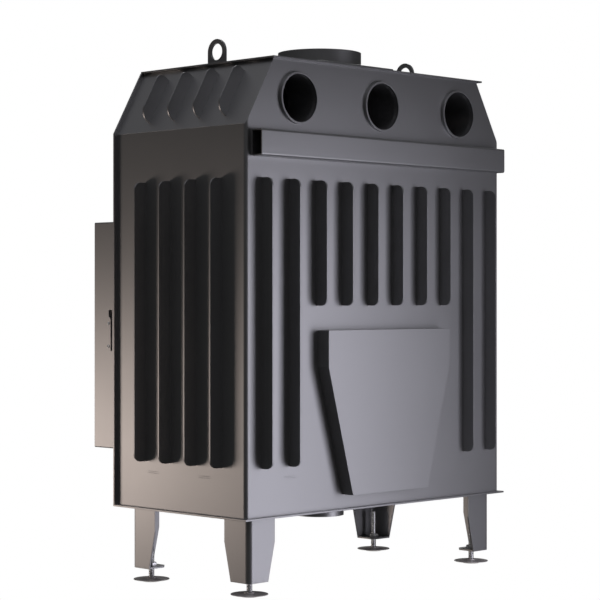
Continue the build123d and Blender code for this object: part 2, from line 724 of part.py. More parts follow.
# Floor of the firebox, over the air space, with tabs through the walls and three air windows
with BuildPart() as floor_plate:
    with BuildSketch(level(FLOOR_Z)) as floor_outline:
        rectangle(-INNER_HALF, INNER_HALF, FRONT_Y, INNER_REAR_Y)
        chamfer(floor_outline.vertices().group_by(Axis.Y)[-1], PLATE_CORNER)
        for tab_y in SIDE_TAB_Y:
            rectangle(-BODY_HALF, BODY_HALF, tab_y - TAB / 2, tab_y + TAB / 2)
        for side in SIDES:
            rectangle(side * REAR_TAB_X - TAB / 2, side * REAR_TAB_X + TAB / 2, 0, REAR_Y)
        for window_x in WINDOW_X:
            with Locations((window_x, WINDOW_Y)):
                Rectangle(WINDOW_WIDTH, WINDOW_LENGTH, mode=Mode.SUBTRACT)
    extrude(amount=SHEET)

# Hearth plate, which runs forward through the door opening and carries the grate
with BuildPart() as hearth_plate:
    with BuildSketch(level(HEARTH_Z)) as hearth_outline:
        rectangle(-INNER_HALF, INNER_HALF, FRONT_Y, INNER_REAR_Y)
        chamfer(hearth_outline.vertices().group_by(Axis.Y)[-1], PLATE_CORNER)
        rectangle(-THROAT_HALF, THROAT_HALF, SEAT_Y + SEAT_SHEET, FRONT_Y)
        rectangle(
            -GRATE_HALF + GRATE_RIM, GRATE_HALF - GRATE_RIM,
            GRATE_Y[0] + GRATE_RIM, GRATE_Y[1] - GRATE_RIM, mode=Mode.SUBTRACT,
        )
    extrude(amount=SHEET)

# Hearth slab round the grate
with BuildPart() as hearth_slab:
    with BuildSketch(level(HEARTH_TOP)):
        rectangle(-SLAB_HALF, SLAB_HALF, LINING_FRONT_Y, SLAB_BACK_Y)
        rectangle(
            -GRATE_HALF - GRATE_GAP, GRATE_HALF + GRATE_GAP,
            GRATE_Y[0] - GRATE_GAP, GRATE_Y[1] + GRATE_GAP, mode=Mode.SUBTRACT,
        )
    extrude(amount=SLAB_TOP_Z - HEARTH_TOP)
    chamfer(hearth_slab.edges().group_by(Axis.Z)[-1], length=2)


def side_lining(side):
    """Lining slab along one side wall, with a chamfered front edge."""
    with BuildPart() as lining:
        with BuildSketch(level(HEARTH_TOP)) as plan:
            left = min(side * LINING_HALF, side * (LINING_HALF - LINING))
            rectangle(left, left + LINING, LINING_FRONT_Y, LINING_BACK_Y - 2)
            chamfer(plan.vertices().group_by(Axis.Y)[0], 4)
        extrude(amount=LINING_TOP_Z - HEARTH_TOP)
    return lining.part


side_lining_left = side_lining(-1)
side_lining_right = side_lining(1)

# Back lining with the air nozzles
with BuildPart() as back_lining:
    with BuildSketch(upright(LINING_BACK_Y + LINING)):
        rectangle(-LINING_HALF, LINING_HALF, HEARTH_TOP, LINING_TOP_Z)
        with Locations((0, NOZZLE_Z)):
            with GridLocations(NOZZLE_PITCH, 1, NOZZLES, 1):
                Circle(NOZZLE_R, mode=Mode.SUBTRACT)
    extrude(amount=LINING)

# Baffle slab that lies on the lining and leaves a smoke gap at the front
with BuildPart() as baffle:
    with BuildSketch(sideways(-LINING_HALF)) as baffle_section:
        rectangle(BAFFLE_FRONT_Y, LINING_BACK_Y + LINING, LINING_TOP_Z, LINING_TOP_Z + LINING)
        fillet(baffle_section.vertices().group_by(Axis.X)[0], 10)
    extrude(amount=2 * LINING_HALF)

# Steel ceiling of the firebox
with BuildPart() as firebox_ceiling:
    with BuildSketch(level(CEILING_Z)) as ceiling_outline:
        rectangle(-INNER_HALF, INNER_HALF, FRONT_Y, INNER_REAR_Y)
        chamfer(ceiling_outline.vertices().group_by(Axis.Y)[-1], PLATE_CORNER)
        with Locations((0, FLUE_Y)):
            Circle(DUCT_INNER_R, mode=Mode.SUBTRACT)
    extrude(amount=SHEET)

# Two folded rails under the ash pan
with BuildPart() as pan_runners:
    with BuildSketch(upright(PAN_BACK_Y + 8)):
        for side in SIDES:
            section = (
                (128, PAN_BOTTOM_Z - 2.1), (128, PAN_BOTTOM_Z - 0.1), (PAN_HALF + 4, PAN_BOTTOM_Z - 0.1),
                (PAN_HALF + 4, FLOOR_TOP + 2), (PAN_HALF + 22, FLOOR_TOP + 2), (PAN_HALF + 22, FLOOR_TOP),
                (PAN_HALF + 2, FLOOR_TOP), (PAN_HALF + 2, PAN_BOTTOM_Z - 2.1),
            )
            with BuildLine():
                Polyline(*[(side * x, z) for x, z in section], close=True)
            make_face()
    extrude(amount=PAN_BACK_Y + 8 - FRONT_Y - 2)

# Cast door frame: glass rebate and rope groove in the back, bores for the pins and the handle shaft
with BuildPart() as door_frame:
    with BuildSketch(level(DOOR_BOTTOM_Z)) as door_plan:
        rectangle(-DOOR_HALF, DOOR_HALF, DOOR_Y, DOOR_BACK_Y)
        fillet(door_plan.vertices().group_by(Axis.Y)[0], 3)
    extrude(amount=DOOR_HEIGHT)
    with BuildSketch(upright(DOOR_BACK_Y)):
        with Locations((0, DOOR_MID_Z)):
            RectangleRounded(2 * (DOOR_HALF - DOOR_RAIL), DOOR_HEIGHT - 2 * DOOR_RAIL, 8)
    extrude(amount=DOOR_DEPTH, mode=Mode.SUBTRACT)
    front_edges = door_frame.faces().sort_by(Axis.Y)[0].inner_wires()[0].edges()
    chamfer(front_edges, length=5)
    with BuildSketch(upright(DOOR_BACK_Y)):
        with Locations((0, DOOR_MID_Z)):
            rebate = DOOR_RAIL - GLASS_LAP
            Rectangle(2 * (DOOR_HALF - rebate), DOOR_HEIGHT - 2 * rebate)
    extrude(amount=DOOR_BACK_Y - LIP_BACK_Y, mode=Mode.SUBTRACT)
    with BuildSketch(upright(DOOR_BACK_Y)):
        with Locations((0, DOOR_MID_Z)):
            RectangleRounded(2 * (DOOR_HALF - ROPE_EDGE), DOOR_HEIGHT - 2 * ROPE_EDGE, 12)
            inner = ROPE_EDGE + ROPE_WIDTH
            RectangleRounded(2 * (DOOR_HALF - inner), DOOR_HEIGHT - 2 * inner, 5, mode=Mode.SUBTRACT)
    extrude(amount=ROPE_GROOVE, mode=Mode.SUBTRACT)
    for bottom in (DOOR_BOTTOM_Z, DOOR_TOP_Z - PIN_BORE_DEPTH):
        with BuildSketch(level(bottom)):
            with Locations((HINGE_X, HINGE_Y)):
                Circle(PIN_BORE_R)
        extrude(amount=PIN_BORE_DEPTH, mode=Mode.SUBTRACT)
    with BuildSketch(upright(DOOR_BACK_Y)):
        with Locations((HANDLE_X, HANDLE_Z)):
            Circle(SHAFT_BORE_R)
    extrude(amount=DOOR_DEPTH, mode=Mode.SUBTRACT)

# Flat gasket between the frame and the glass
with BuildPart() as glass_gasket:
    with BuildSketch(upright(LIP_BACK_Y + GASKET_SHEET)):
        with Locations((0, DOOR_MID_Z)):
            half = DOOR_HALF - DOOR_RAIL + GLASS_LAP - 1
            Rectangle(2 * half, DOOR_HEIGHT - 2 * (DOOR_HALF - half))
            Rectangle(2 * (DOOR_HALF - DOOR_RAIL), DOOR_HEIGHT - 2 * DOOR_RAIL, mode=Mode.SUBTRACT)
    extrude(amount=GASKET_SHEET)

# Ceramic glass pane
with BuildPart() as door_glass:
    with BuildSketch(upright(LIP_BACK_Y + GASKET_SHEET + GLASS_SHEET)):
        with Locations((0, DOOR_MID_Z)):
            half = DOOR_HALF - DOOR_RAIL + GLASS_LAP - 1.5
            RectangleRounded(2 * half, DOOR_HEIGHT - 2 * (DOOR_HALF - half), 3)
    extrude(amount=GLASS_SHEET)
    chamfer(door_glass.faces().sort_by(Axis.Y)[0].edges(), length=0.6)

# Clips that hold the glass from behind: a foot on the frame and a step down to the pane
with BuildPart() as glass_clips:
    glass_back = LIP_BACK_Y + GASKET_SHEET + GLASS_SHEET
    clip_profile = (
        (0, DOOR_BACK_Y + CLIP_SHEET), (0, DOOR_BACK_Y), (12, DOOR_BACK_Y), (12, glass_back),
        (22, glass_back), (22, glass_back + CLIP_SHEET),
        (12 + CLIP_SHEET, glass_back + CLIP_SHEET), (12 + CLIP_SHEET, DOOR_BACK_Y + CLIP_SHEET),
    )
    edge_low = DOOR_BOTTOM_Z + DOOR_RAIL - GLASS_LAP - 11
    edge_high = DOOR_TOP_Z - DOOR_RAIL + GLASS_LAP + 11
    for clip_x in CLIP_X:
        with BuildSketch(sideways(clip_x - CLIP_WIDTH / 2)):
            for edge, turn in ((edge_low, 1), (edge_high, -1)):
                with BuildLine():
                    Polyline(*[(y, edge + turn * step) for step, y in clip_profile], close=True)
                make_face()
        extrude(amount=CLIP_WIDTH)

# Rope gasket in the back of the door
with BuildPart() as door_gasket:
    with BuildSketch(upright(DOOR_BACK_Y + ROPE_PROUD)):
        with Locations((0, DOOR_MID_Z)):
            RectangleRounded(2 * (DOOR_HALF - ROPE_EDGE), DOOR_HEIGHT - 2 * ROPE_EDGE, 12)
            inner = ROPE_EDGE + ROPE_WIDTH
            RectangleRounded(2 * (DOOR_HALF - inner), DOOR_HEIGHT - 2 * inner, 5, mode=Mode.SUBTRACT)
    extrude(amount=ROPE_PROUD + ROPE_GROOVE)

# Door handle: hub and shaft, and a rounded bar bent into the grip; it lies level while the latch is free
with BuildPart() as door_handle:
    with BuildSketch(upright(SHAFT_END_Y)):
        with Locations((HANDLE_X, HANDLE_Z)):
            Circle(SHAFT_R)
    extrude(amount=SHAFT_END_Y - HUB_Y)
    with BuildSketch(upright(HUB_Y)):
        with Locations((HANDLE_X, HANDLE_Z)):
            Circle(HUB_R)
    extrude(amount=HUB_LENGTH)
    with BuildLine(level(HANDLE_Z)) as grip_path:
        FilletPolyline(
            (HANDLE_X, HUB_Y - HUB_LENGTH / 2), (HANDLE_X, GRIP_Y + GRIP_RISE),
            (HANDLE_X - GRIP_CRANK, GRIP_Y), (GRIP_END_X, GRIP_Y), radius=GRIP_BEND,
        )
    with BuildSketch(upright(HUB_Y - HUB_LENGTH / 2)):
        with Locations((HANDLE_X, HANDLE_Z)):
            RectangleRounded(GRIP_DEPTH, GRIP_HEIGHT, GRIP_CORNER)
    sweep(path=grip_path.wire())

# Latch tongue on the inner end of the handle shaft; it hangs free and turns behind the door seat
with BuildPart() as latch_tongue:
    with BuildSketch(upright(TONGUE_Y + TONGUE_SHEET)):
        with Locations((HANDLE_X, HANDLE_Z - TONGUE_LENGTH / 2 + TONGUE_WIDTH / 2)):
            SlotOverall(TONGUE_LENGTH, TONGUE_WIDTH, rotation=90)
        with Locations((HANDLE_X, HANDLE_Z)):
            Circle(SHAFT_R, mode=Mode.SUBTRACT)
    extrude(amount=TONGUE_SHEET)

# Air lever: foot on the shutter, riser, and a flat arm out through the apron to a rounded thumb plate
shutter_top = FLOOR_TOP + SHUTTER_GAP + SHUTTER_SHEET
with BuildPart() as air_lever:
    with BuildSketch(sideways(LEVER_X - 10)):
        with BuildLine():
            Polyline(
                (LEVER_FOOT_Y, shutter_top), (LEVER_FOOT_Y, shutter_top + LEVER_SHEET),
                (LEVER_RISE_Y + LEVER_SHEET, shutter_top + LEVER_SHEET),
                (LEVER_RISE_Y + LEVER_SHEET, LEVER_Z + LEVER_SHEET),
                (LEVER_FRONT_Y, LEVER_Z + LEVER_SHEET), (LEVER_FRONT_Y, LEVER_Z),
                (LEVER_RISE_Y, LEVER_Z), (LEVER_RISE_Y, shutter_top), close=True,
            )
        make_face()
    extrude(amount=20)
    with BuildSketch(level(LEVER_Z - 3)):
        with Locations((LEVER_X, LEVER_FRONT_Y + 1)):
            RectangleRounded(28, 20, 8)
    extrude(amount=9)
    chamfer(air_lever.faces().sort_by(Axis.Z)[-1].edges(), 1.5)

# Shutter that slides over the air windows
with BuildPart() as air_shutter:
    with BuildSketch(level(FLOOR_TOP + SHUTTER_GAP)):
        rectangle(*SHUTTER_X, *SHUTTER_Y)
        for window_x in WINDOW_X:
            with Locations((window_x, WINDOW_Y)):
                Rectangle(WINDOW_WIDTH, WINDOW_LENGTH, mode=Mode.SUBTRACT)
    extrude(amount=SHUTTER_SHEET)

# Cast grate with slots, resting in the hearth
with BuildPart() as grate:
    with BuildSketch(level(HEARTH_TOP + 0.1)):
        rectangle(-GRATE_HALF, GRATE_HALF, GRATE_Y[0], GRATE_Y[1])
    extrude(amount=24)
    chamfer(grate.edges().group_by(Axis.Z)[-1], length=2)
    with BuildSketch(level(HEARTH_TOP + 0.1)):
        rectangle(
            -GRATE_HALF + GRATE_RIM, GRATE_HALF - GRATE_RIM,
            GRATE_Y[0] + GRATE_RIM, GRATE_Y[1] - GRATE_RIM,
        )
    extrude(amount=10, mode=Mode.SUBTRACT)
    with BuildSketch(level(HEARTH_TOP)):
        with Locations((0, sum(GRATE_Y) / 2)):
            with GridLocations(GRATE_SLOT_PITCH, 1, GRATE_SLOTS, 1):
                SlotOverall(GRATE_SLOT_LENGTH, GRATE_SLOT_WIDTH, rotation=90)
    extrude(amount=30, mode=Mode.SUBTRACT)

# Ash pan: open tray, front panel and a lip to pull it by
with BuildPart() as ash_pan:
    with BuildSketch(level(PAN_BOTTOM_Z)):
        rectangle(-PAN_HALF, PAN_HALF, PAN_FRONT_Y, PAN_BACK_Y)
    extrude(amount=PAN_HEIGHT)
    with BuildSketch(level(PAN_BOTTOM_Z + PAN_SHEET)):
        rectangle(
            -PAN_HALF + PAN_SHEET, PAN_HALF - PAN_SHEET,
            PAN_FRONT_Y + PAN_SHEET, PAN_BACK_Y - PAN_SHEET,
        )
    extrude(amount=PAN_HEIGHT, mode=Mode.SUBTRACT)
    with BuildSketch(upright(PAN_FRONT_Y)):
        rectangle(-PAN_HALF - 12, PAN_HALF + 12, PAN_BOTTOM_Z, PAN_GAP_TOP_Z + 4)
    extrude(amount=3)
    with BuildSketch(sideways(-PAN_LIP_HALF)):
        with BuildLine():
            Polyline(
                (PAN_FRONT_Y - 3, PAN_LIP_Z), (PAN_LIP_Y, PAN_LIP_Z), (PAN_LIP_Y, PAN_LIP_Z - 10),
                (PAN_LIP_Y + PAN_SHEET, PAN_LIP_Z - 10), (PAN_LIP_Y + PAN_SHEET, PAN_LIP_Z - PAN_SHEET),
                (PAN_FRONT_Y - 3, PAN_LIP_Z - PAN_SHEET), close=True,
            )
        make_face()
    extrude(amount=2 * PAN_LIP_HALF)


def label_and_export(solid, name):
    """Names a finished piece and saves it."""
    solid.label = name
    export_step(solid, "parts/" + name + ".step")


PIECES = {
    "base_plate": base_plate.part,
    "body_shell": body_shell.part,
    "hood_plate_left": hood_plate_left,
    "hood_plate_right": hood_plate_right,
    "top_plate": top_plate.part,
    "front_plate": front_plate.part,
    "rear_fins_long": rear_fins_long,
    "rear_fins_short": rear_fins_short,
    "side_fins_left": side_fins_left,
    "side_fins_right": side_fins_right,
    "hood_fins_left": hood_fins_left,
    "hood_fins_right": hood_fins_right,
    "rear_beam": rear_beam.part,
    "air_channel_cover": air_channel_cover.part,
    "hot_air_collars": hot_air_collars.part,
    "flue_seat": flue_seat.part,
    "flue_collar": flue_collar.part,
    "smoke_duct": smoke_duct.part,
    "lifting_eyes": lifting_eyes.part,
    "outside_air_spigot": outside_air_spigot.part,
    "leg_front_left": leg_front_left,
    "leg_front_right": leg_front_right,
    "leg_rear_left": leg_rear_left,
    "leg_rear_right": leg_rear_right,
    "leg_foot_plates": leg_foot_plates.part,
    "leg_nuts": leg_nuts.part,
    "door_surround": door_surround.part,
    "hook_slot_block": hook_slot_block.part,
    "slot_screws": slot_screws.part,
    "door_seat": door_seat.part,
    "front_apron": front_apron.part,
    "hinge_pins": hinge_pins.part,
    "floor_plate": floor_plate.part,
    "hearth_plate": hearth_plate.part,
    "hearth_slab": hearth_slab.part,
    "side_lining_left": side_lining_left,
    "side_lining_right": side_lining_right,
    "back_lining": back_lining.part,
    "baffle": baffle.part,
    "firebox_ceiling": firebox_ceiling.part,
    "pan_runners": pan_runners.part,
    "door_frame": door_frame.part,
    "glass_gasket": glass_gasket.part,
    "door_glass": door_glass.part,
    "glass_clips": glass_clips.part,
    "door_gasket": door_gasket.part,
    "door_handle": door_handle.part,
    "latch_tongue": latch_tongue.part,
    "air_lever": air_lever.part,
    "air_shutter": air_shutter.part,
    "grate": grate.part,
    "ash_pan": ash_pan.part,
}

FOOT_NAMES = {
    "front_left": (-1, -1),
    "front_right": (1, -1),
    "rear_left": (-1, 1),
    "rear_right": (1, 1),
}
for place, (side, end) in FOOT_NAMES.items():
    PIECES["foot_disc_" + place] = foot_disc(side, end)
    PIECES["foot_rod_" + place] = foot_rod(side, end)

os.makedirs("parts", exist_ok=True)
for name, solid in PIECES.items():
    label_and_export(solid, name)
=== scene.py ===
import bpy
import bmesh
from math import ceil, cos, pi, radians, sin, tan
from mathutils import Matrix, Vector


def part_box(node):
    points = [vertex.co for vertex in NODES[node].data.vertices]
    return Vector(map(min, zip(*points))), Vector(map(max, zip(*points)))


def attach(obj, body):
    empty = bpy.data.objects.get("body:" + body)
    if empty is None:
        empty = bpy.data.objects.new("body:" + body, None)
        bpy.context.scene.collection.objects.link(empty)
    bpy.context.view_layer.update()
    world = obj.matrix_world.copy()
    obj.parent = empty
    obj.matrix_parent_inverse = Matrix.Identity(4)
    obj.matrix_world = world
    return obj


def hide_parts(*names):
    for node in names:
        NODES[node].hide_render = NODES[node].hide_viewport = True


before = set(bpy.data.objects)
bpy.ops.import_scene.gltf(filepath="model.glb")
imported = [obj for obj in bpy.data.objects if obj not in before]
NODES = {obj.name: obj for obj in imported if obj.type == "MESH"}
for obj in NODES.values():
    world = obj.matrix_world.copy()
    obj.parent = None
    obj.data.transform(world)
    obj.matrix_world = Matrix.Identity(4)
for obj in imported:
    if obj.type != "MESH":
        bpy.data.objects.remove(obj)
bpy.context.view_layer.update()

# Lengths are in metres, unless a comment says otherwise
SCENE = bpy.context.scene
BODY_SHEET = 0.004


class Nodes:
    """Places and joins the nodes of one material, world or shader group."""

    def __init__(self, tree):
        self.tree = tree

    def add(self, kind, operation=None, **inputs):
        """New shader node. Inputs are named as on the node, with _ for a space, and take values or outputs."""
        node = self.tree.nodes.new("ShaderNode" + kind)
        if operation:
            node.operation = operation
        for name, value in inputs.items():
            self.join(node, name.replace("_", " "), value)
        return node

    def join(self, node, socket, value):
        """Sets one input, by its name or number."""
        target = node.inputs[socket]
        if isinstance(value, bpy.types.NodeSocket):
            self.tree.links.new(value, target)
        else:
            target.default_value = value

    def sum(self, operation, *values):
        """Result of a math node."""
        node = self.add("Math", operation)
        for place, value in enumerate(values):
            self.join(node, place, value)
        return node.outputs[0]

    def dot(self, first, second):
        """How far two directions agree."""
        node = self.add("VectorMath", "DOT_PRODUCT")
        self.join(node, 0, first)
        self.join(node, 1, second)
        return node.outputs["Value"]

    def blend(self, amount, first, second):
        """Colour between two colours."""
        node = self.tree.nodes.new("ShaderNodeMix")
        node.data_type = "RGBA"
        self.join(node, 0, amount)
        self.join(node, 6, first)
        self.join(node, 7, second)
        return node.outputs[2]

    def spread(self, value, low, high, to_low=0.0, to_high=1.0, smooth=False):
        """Value moved from one range to another."""
        node = self.add("MapRange", From_Min=low, From_Max=high, To_Min=to_low, To_Max=to_high, Value=value)
        if smooth:
            node.interpolation_type = "SMOOTHSTEP"
        return node.outputs[0]

    def ramp(self, value, stops):
        """Colour ramp with stops of position and colour."""
        node = self.tree.nodes.new("ShaderNodeValToRGB")
        points = node.color_ramp.elements
        while len(points) < len(stops):
            points.new(0.5)
        for point, (position, colour) in zip(points, stops):
            point.position = position
            point.color = (*colour, 1)
        self.join(node, 0, value)
        return node.outputs[0]


# Camera, light and floor
CAMERA_WAY = (0.7071, 0.7071, 0)
PICTURE_RIGHT = (-0.7071, 0.7071, 0)


def make_camera():
    """The photographer's place: level, at the height of the door, off the back right corner."""
    data = bpy.data.cameras.new("camera")
    data.lens = 115.1
    data.sensor_width = 36.0
    data.shift_y = -0.0028
    data.clip_end = 100.0
    camera = bpy.data.objects.new("camera", data)
    camera.location = (3.4304, 3.3981, 0.6813)
    camera.rotation_euler = (radians(90), 0, radians(134.72))
    SCENE.collection.objects.link(camera)
    SCENE.camera = camera
    SCENE.view_settings.view_transform = "Standard"


def soft_box(name, start, end, low, high, colour, power):
    """Upright soft box between two ends and two heights, which faces the insert. Power is in watts."""
    data = bpy.data.lights.new(name, "AREA")
    data.shape = "RECTANGLE"
    width = Vector(end) - Vector(start)
    data.size = width.length
    data.size_y = high - low
    data.color = colour
    data.energy = power
    box = bpy.data.objects.new(name, data)
    middle = (Vector(start) + Vector(end)) / 2
    box.location = (middle.x, middle.y, (low + high) / 2)
    facing = Vector((-width.y, width.x, 0))
    if facing.dot(box.location) > 0:
        facing = -facing
    box.rotation_euler = facing.to_track_quat("-Z", "Y").to_euler()
    box.visible_camera = False
    SCENE.collection.objects.link(box)


def make_soft_boxes():
    """Two boxes that show in the satin paint of the back and the right side, and one for the front.

    The first two reach below the floor, as they do in a polished floor that mirrors them. The third stands on
    the far side from the camera and lights the door.
    """
    soft_box("soft_box_right", (-0.24, 1.561), (-0.94, 1.429), -1.0, 1.07, (0.97, 0.953, 1.077), 10.5)
    soft_box("soft_box_left", (1.234, -1.794), (2.127, -1.746), -0.143, 0.441, (1.155, 0.977, 0.868), 6.9)
    soft_box("soft_box_front", (-2.4, -1.0), (-1.2, -2.2), 2.0, 3.2, (1.0, 1.0, 1.0), 26.0)


# Glow of the dim room low down, and glow high up by the turn in degrees from the way to the camera towards
# the right of the picture
ROOM_GLOW = (0.042, 0.042, 0.042, 1)
SKY_GLOW = (
    (-180, (0.3, 0.3, 0.31)), (-60, (0.3, 0.3, 0.32)), (0, (0.72, 0.72, 0.77)), (60, (0.5, 0.5, 0.54)),
    (100, (0.14, 0.14, 0.15)), (180, (0.2, 0.2, 0.2)),
)
WHITE = (1, 1, 1, 1)


def make_world():
    """White page for the camera. The steel sees a dim room with soft light high up."""
    world = bpy.data.worlds.new("studio")
    SCENE.world = world
    world.use_nodes = True
    world.node_tree.nodes.clear()
    nodes = Nodes(world.node_tree)
    way = nodes.add("TexCoord").outputs["Generated"]
    height = nodes.add("SeparateXYZ", Vector=way).outputs["Z"]
    ahead = nodes.dot(way, CAMERA_WAY)
    aside = nodes.dot(way, PICTURE_RIGHT)
    around = nodes.spread(nodes.sum("ARCTAN2", aside, ahead), -pi, pi)
    sky = nodes.ramp(around, [((degrees + 180) / 360, colour) for degrees, colour in SKY_GLOW])
    room = nodes.blend(nodes.spread(height, 0.42, 0.82, smooth=True), ROOM_GLOW, sky)
    page = nodes.add("Background", Color=WHITE, Strength=1.0)
    studio = nodes.add("Background", Color=room)
    seen = nodes.add("MixShader", Fac=nodes.add("LightPath").outputs["Is Camera Ray"])
    nodes.join(seen, 1, studio.outputs[0])
    nodes.join(seen, 2, page.outputs[0])
    nodes.add("OutputWorld", Surface=seen.outputs[0])


FLOOR_HALF = 9.0
PAPER_GLOW = (0.8, 0.78, 0.76, 1)


def make_floor():
    """Pale studio floor: a white page in the picture, and soft light from below on what isn't glossy."""
    mesh = bpy.data.meshes.new("floor")
    corners = [(x * FLOOR_HALF, y * FLOOR_HALF, 0) for x, y in ((-1, -1), (1, -1), (1, 1), (-1, 1))]
    mesh.from_pydata(corners, [], [(0, 1, 2, 3)])
    floor = bpy.data.objects.new("floor", mesh)
    SCENE.collection.objects.link(floor)
    material = bpy.data.materials.new("studio_floor")
    material.use_nodes = True
    material.node_tree.nodes.clear()
    nodes = Nodes(material.node_tree)
    path = nodes.add("LightPath")
    page = nodes.add("Emission", Color=WHITE, Strength=1.0)
    paper = nodes.add("Emission", Color=PAPER_GLOW, Strength=1.0)
    seen = nodes.add("MixShader", Fac=path.outputs["Is Camera Ray"])
    nodes.join(seen, 1, paper.outputs[0])
    nodes.join(seen, 2, page.outputs[0])
    nodes.add("OutputMaterial", Surface=seen.outputs[0])
    mesh.materials.append(material)
    floor.visible_glossy = False
    floor.visible_shadow = False


# Finishes
def grain_group():
    """Fine orange peel of sprayed paint, as a height, and the slow patches of its sheen."""
    group = bpy.data.node_groups.new("spray_grain", "ShaderNodeTree")
    group.interface.new_socket("Grain size", in_out="INPUT", socket_type="NodeSocketFloat")
    group.interface.new_socket("Height", in_out="OUTPUT", socket_type="NodeSocketFloat")
    group.interface.new_socket("Patches", in_out="OUTPUT", socket_type="NodeSocketFloat")
    nodes = Nodes(group)
    enter = group.nodes.new("NodeGroupInput")
    leave = group.nodes.new("NodeGroupOutput")
    place = nodes.add("TexCoord").outputs["Object"]
    fine = nodes.add("TexNoise", Vector=place, Scale=enter.outputs["Grain size"], Detail=3.0)
    slow = nodes.add("TexNoise", Vector=place, Scale=4.0, Detail=4.0, Roughness=0.6)
    nodes.join(leave, "Height", fine.outputs["Fac"])
    nodes.join(leave, "Patches", slow.outputs["Fac"])
    return group


def edge_group():
    """Where a sheet's edges are: a mask for a painted highlight along them, and the surface normal rounded
    over them.
    """
    group = bpy.data.node_groups.new("sheet_edges", "ShaderNodeTree")
    group.interface.new_socket("Radius", in_out="INPUT", socket_type="NodeSocketFloat")
    group.interface.new_socket("Mask", in_out="OUTPUT", socket_type="NodeSocketFloat")
    group.interface.new_socket("Normal", in_out="OUTPUT", socket_type="NodeSocketVector")
    nodes = Nodes(group)
    enter = group.nodes.new("NodeGroupInput")
    leave = group.nodes.new("NodeGroupOutput")
    rounded = nodes.add("Bevel", Radius=enter.outputs["Radius"])
    rounded.samples = 4
    apart = nodes.dot(rounded.outputs[0], nodes.add("NewGeometry").outputs["Normal"])
    nodes.join(leave, "Mask", nodes.spread(apart, 0.99, 0.75))
    nodes.join(leave, "Normal", rounded.outputs[0])
    return group


GRAIN = grain_group()
EDGES = edge_group()


def place_group(nodes, group, **inputs):
    """One use of a shared effect in a material."""
    node = nodes.tree.nodes.new("ShaderNodeGroup")
    node.node_tree = group
    for name, value in inputs.items():
        nodes.join(node, name.replace("_", " "), value)
    return node


def new_material(name):
    """Empty material, with its helper and its surface shader."""
    material = bpy.data.materials.new(name)
    material.use_nodes = True
    material.node_tree.nodes.clear()
    nodes = Nodes(material.node_tree)
    shader = nodes.add("BsdfPrincipled")
    nodes.add("OutputMaterial", Surface=shader.outputs[0])
    return material, nodes, shader


def steel_finish(name, dark, light, edge, metallic, smooth, rough, bump=0.03, grain=420.0, radius=0.0012):
    """Finish on steel: patches between two colours and two roughnesses, a fine grain, and a painted highlight
    of a lighter colour along the edges.
    """
    material, nodes, shader = new_material(name)
    spray = place_group(nodes, GRAIN, Grain_size=grain)
    edges = place_group(nodes, EDGES, Radius=radius)
    tone = nodes.blend(spray.outputs["Patches"], (*dark, 1), (*light, 1))
    # The edge colour is a painted highlight: the base colour is lightened along every edge, beside the real
    # rounding of the normal.
    nodes.join(shader, "Base Color", nodes.blend(edges.outputs["Mask"], tone, (*edge, 1)))
    nodes.join(shader, "Roughness", nodes.spread(spray.outputs["Patches"], 0.3, 0.7, smooth, rough))
    shader.inputs["Metallic"].default_value = metallic
    relief = nodes.add("Bump", Strength=bump, Distance=0.0005)
    nodes.join(relief, "Height", spray.outputs["Height"])
    nodes.join(relief, "Normal", edges.outputs["Normal"])
    nodes.join(shader, "Normal", relief.outputs[0])
    return material


def ceramic_glass():
    """Clear heat-proof glass with a faint warm tint and patchy roughness."""
    material, nodes, shader = new_material("ceramic_glass")
    place = nodes.add("TexCoord").outputs["Object"]
    haze = nodes.add("TexNoise", Vector=place, Scale=6.0, Detail=3.0)
    shader.inputs["Base Color"].default_value = (0.93, 0.9, 0.84, 1)
    nodes.join(shader, "Roughness", nodes.spread(haze.outputs["Fac"], 0.3, 0.7, 0.01, 0.05))
    shader.inputs["Transmission Weight"].default_value = 1.0
    shader.inputs["IOR"].default_value = 1.5
    return material


def firebox_board():
    """Pressed vermiculite board: sand-coloured with mica flakes and a rough face."""
    material, nodes, shader = new_material("firebox_board")
    place = nodes.add("TexCoord").outputs["Object"]
    flakes = nodes.add("TexVoronoi", Vector=place, Scale=260.0).outputs["Distance"]
    cloud = nodes.add("TexNoise", Vector=place, Scale=9.0, Detail=5.0).outputs["Fac"]
    tone = nodes.blend(cloud, (0.42, 0.34, 0.22, 1), (0.62, 0.53, 0.38, 1))
    nodes.join(shader, "Base Color", nodes.blend(flakes, (0.3, 0.23, 0.14, 1), tone))
    nodes.join(shader, "Roughness", nodes.spread(cloud, 0.3, 0.7, 0.78, 0.92))
    relief = nodes.add("Bump", Strength=0.35, Distance=0.001, Height=flakes)
    nodes.join(shader, "Normal", relief.outputs[0])
    return material


def gasket_rope(name, source, scale):
    """Knitted glass-fibre rope, dark grey with a fine diagonal knit."""
    material, nodes, shader = new_material(name)
    place = nodes.add("TexCoord").outputs[source]
    knit = nodes.add("TexWave", Vector=place, Scale=scale, Distortion=1.5)
    knit.bands_direction = "DIAGONAL"
    tone = nodes.blend(knit.outputs["Fac"], (0.02, 0.02, 0.02, 1), (0.11, 0.11, 0.11, 1))
    nodes.join(shader, "Base Color", tone)
    nodes.join(shader, "Roughness", nodes.spread(knit.outputs["Fac"], 0.0, 1.0, 0.95, 0.8))
    relief = nodes.add("Bump", Strength=0.6, Distance=0.001, Height=knit.outputs["Fac"])
    nodes.join(shader, "Normal", relief.outputs[0])
    return material
